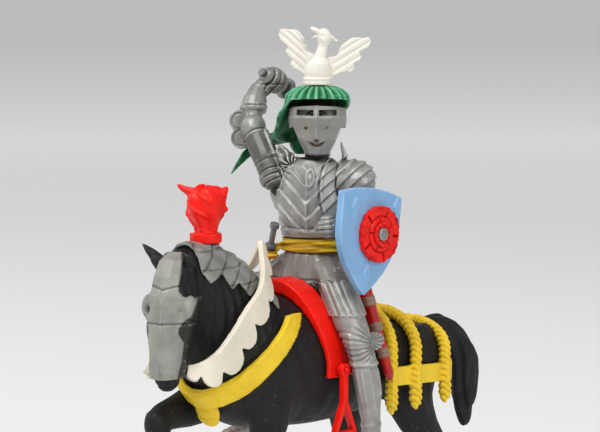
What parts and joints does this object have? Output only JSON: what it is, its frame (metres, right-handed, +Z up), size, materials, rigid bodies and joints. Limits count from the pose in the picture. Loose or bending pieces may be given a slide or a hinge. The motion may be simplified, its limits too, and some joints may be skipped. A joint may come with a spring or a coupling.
{
  "type": "mounted knight miniature",
  "caption": "Painted plug-together miniature of an armoured knight with sword and shield on a walking horse in harness.",
  "frame": {"origin": "middle of the outline seen from above, on the ground under the horse", "axes": "+Z up; -Y the way the horse walks; +X its left flank"},
  "size_m": [0.027, 0.0724, 0.083],
  "materials": {
    "black": "matte",
    "worn_silver": "satin",
    "red": "satin",
    "white": "satin",
    "yellow": "satin",
    "silver": "satin",
    "dark_silver": "satin",
    "dark_red": "satin",
    "sky_blue": "satin",
    "green": "satin"
  },
  "bodies": {
    "horse": {"horse_body": "black", "peytral": "yellow", "crupper": "yellow", "saddle": "red"},
    "horse_head": {"horse_head": "black", "chamfron": "worn_silver", "crinet": "worn_silver", "reins": "white"},
    "plume": {"horse_plume": "red"},
    "stirrup_left": {"stirrup_left": "red"},
    "stirrup_right": {"stirrup_right": "red"},
    "rider": {"rider_legs": "silver", "belt": "yellow"},
    "dagger": {"dagger": "dark_silver"},
    "scabbard": {"scabbard": "dark_red"},
    "torso": {"torso": "silver"},
    "right_arm": {"right_arm": "silver"},
    "sword": {"sword": "dark_silver"},
    "left_arm": {"left_arm": "silver"},
    "shield": {"shield": "sky_blue"},
    "rose": {"rose_boss": "red"},
    "head": {"head": "silver", "mantling": "green"},
    "visor": {"visor": "worn_silver"},
    "crest": {"crest": "white"}
  },
  "joints": [
    {"name": "neck_swivel", "type": "hinge", "parent": "horse", "child": "horse_head", "pos_m": [0.00003, -0.01901, 0.0406], "axis": [0, -0.682, 0.7314], "range_deg": [-20, 20]},
    {"name": "plume_turn", "type": "hinge", "parent": "horse_head", "child": "plume", "pos_m": [0.00003, -0.02391, 0.0538], "axis": [0, 0, 1], "continuous": true},
    {"name": "stirrup_left_swing", "type": "hinge", "parent": "horse", "child": "stirrup_left", "pos_m": [0.00988, -0.00621, 0.0354], "axis": [1, 0, 0], "range_deg": [-30, 0]},
    {"name": "stirrup_right_swing", "type": "hinge", "parent": "horse", "child": "stirrup_right", "pos_m": [-0.00982, -0.00621, 0.0354], "axis": [1, 0, 0], "range_deg": [-30, 0]},
    {"name": "rider_lift", "type": "slide", "parent": "horse", "child": "rider", "axis": [0, 0, 1], "range_m": [0, 0.03]},
    {"name": "dagger_draw", "type": "slide", "parent": "rider", "child": "dagger", "axis": [0.3479, -0.1353, 0.9277], "range_m": [0, 0.003]},
    {"name": "scabbard_swing", "type": "hinge", "parent": "rider", "child": "scabbard", "pos_m": [0.00513, 0.00159, 0.05205], "axis": [0.8821, 0.4711, 0], "range_deg": [-6, 0]},
    {"name": "waist_turn", "type": "hinge", "parent": "rider", "child": "torso", "pos_m": [0.00003, -0.00111, 0.0531], "axis": [0, 0, 1], "range_deg": [-20, 20]},
    {"name": "right_shoulder", "type": "hinge", "parent": "torso", "child": "right_arm", "pos_m": [-0.00541, -0.00388, 0.0613], "axis": [0.891, 0.454, 0], "range_deg": [0, 12]},
    {"name": "sword_turn", "type": "hinge", "parent": "right_arm", "child": "sword", "pos_m": [-0.00983, 0.00183, 0.0751], "axis": [0.0636, 0.8903, -0.4508], "range_deg": [-40, 40]},
    {"name": "left_shoulder", "type": "hinge", "parent": "torso", "child": "left_arm", "pos_m": [0.00547, 0.00166, 0.0613], "axis": [0.891, 0.454, 0], "range_deg": [-20, 0]},
    {"name": "shield_turn", "type": "hinge", "parent": "left_arm", "child": "shield", "pos_m": [0.00925, -0.00158, 0.0542], "axis": [0.9994, -0.0349, 0], "range_deg": [-25, 25]},
    {"name": "rose_turn", "type": "hinge", "parent": "shield", "child": "rose", "pos_m": [0.00925, -0.00158, 0.0542], "axis": [0.9994, -0.0349, 0], "continuous": true},
    {"name": "head_turn", "type": "hinge", "parent": "torso", "child": "head", "pos_m": [0.00053, -0.00071, 0.0643], "axis": [0, 0, 1], "range_deg": [-30, 0]},
    {"name": "visor_lift", "type": "hinge", "parent": "head", "child": "visor", "pos_m": [0.00053, -0.00071, 0.0697], "axis": [-0.7986, -0.6018, 0], "range_deg": [0, 25]},
    {"name": "crest_turn", "type": "hinge", "parent": "head", "child": "crest", "pos_m": [0.00053, -0.00071, 0.0755], "axis": [0, 0, 1], "continuous": true}
  ]
}
